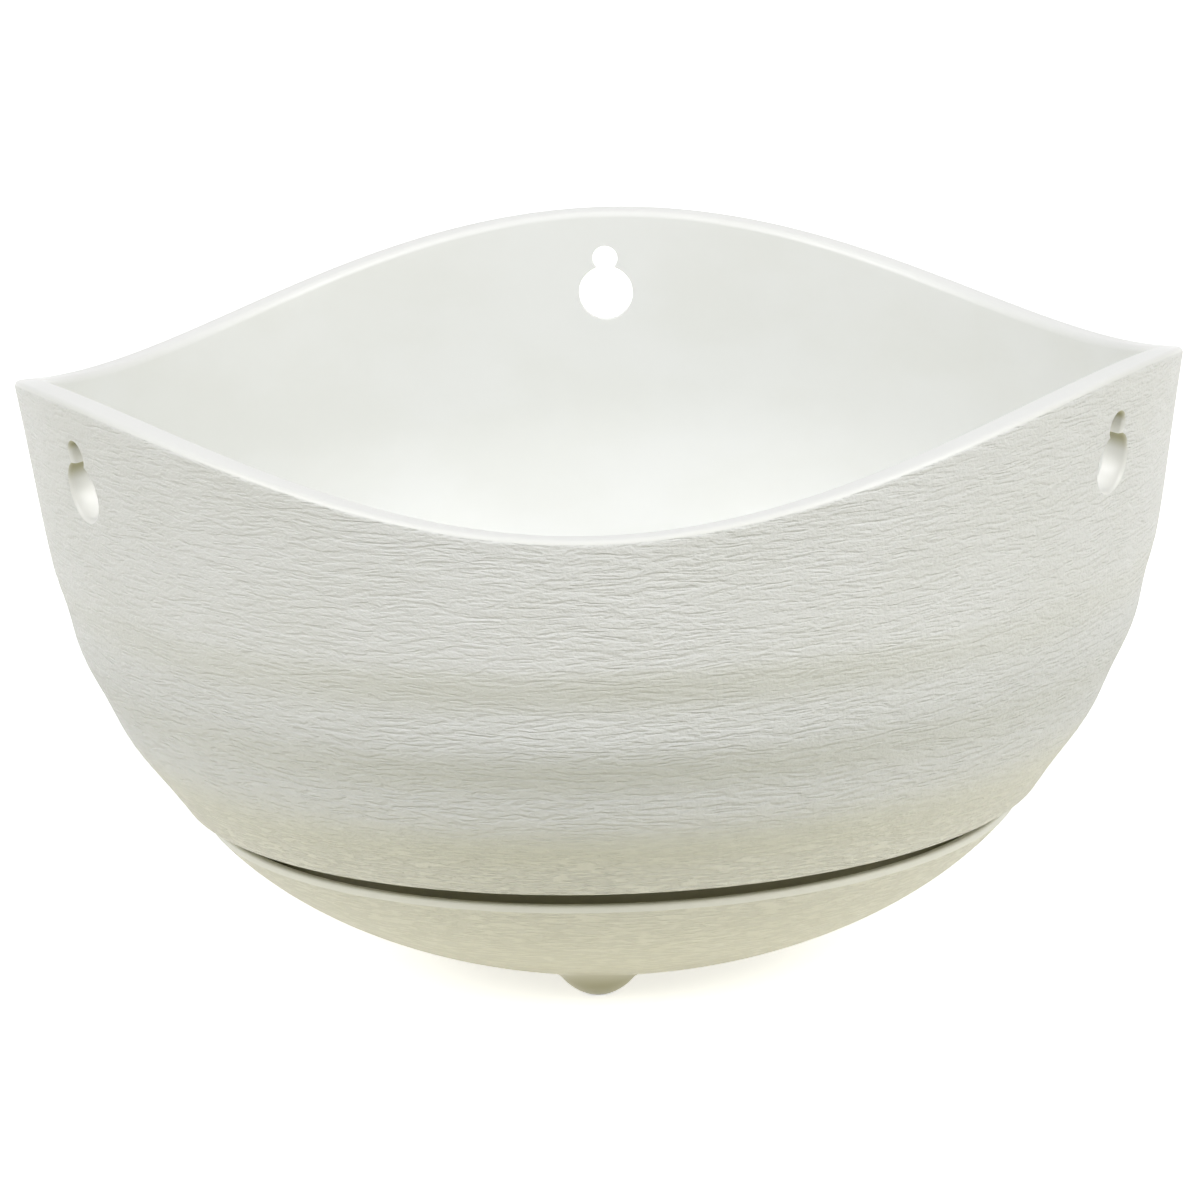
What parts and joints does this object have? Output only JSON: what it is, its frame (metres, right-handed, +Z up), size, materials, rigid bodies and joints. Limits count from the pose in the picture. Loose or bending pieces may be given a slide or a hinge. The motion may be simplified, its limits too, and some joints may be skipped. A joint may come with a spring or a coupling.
{
  "type": "hanging planter",
  "caption": "Round moulded plastic planter bowl with a wavy rim, keyholes for hanging cords and soft ripples, standing in a footed drip tray that lifts off.",
  "frame": {"origin": "on the bowl's axis, at the floor plane under the tray's feet", "axes": "+Z up along the bowl's axis, +Y towards the back keyhole and the rim's back peak, +X to the right seen from the front"},
  "size_m": [0.2498, 0.2498, 0.1389],
  "materials": {
    "bowl_plastic": "off-white moulded plastic, fine crinkled grain outside, smooth inside",
    "tray_plastic": "off-white moulded plastic with a faint level grain"
  },
  "bodies": {
    "tray": {"drip_tray": "tray_plastic"},
    "bowl": {"planter_bowl": "bowl_plastic"}
  },
  "joints": [
    {"name": "bowl_lift", "type": "slide", "parent": "tray", "child": "bowl", "axis": [0, 0, 1], "range_m": [0, 0.08]}
  ]
}
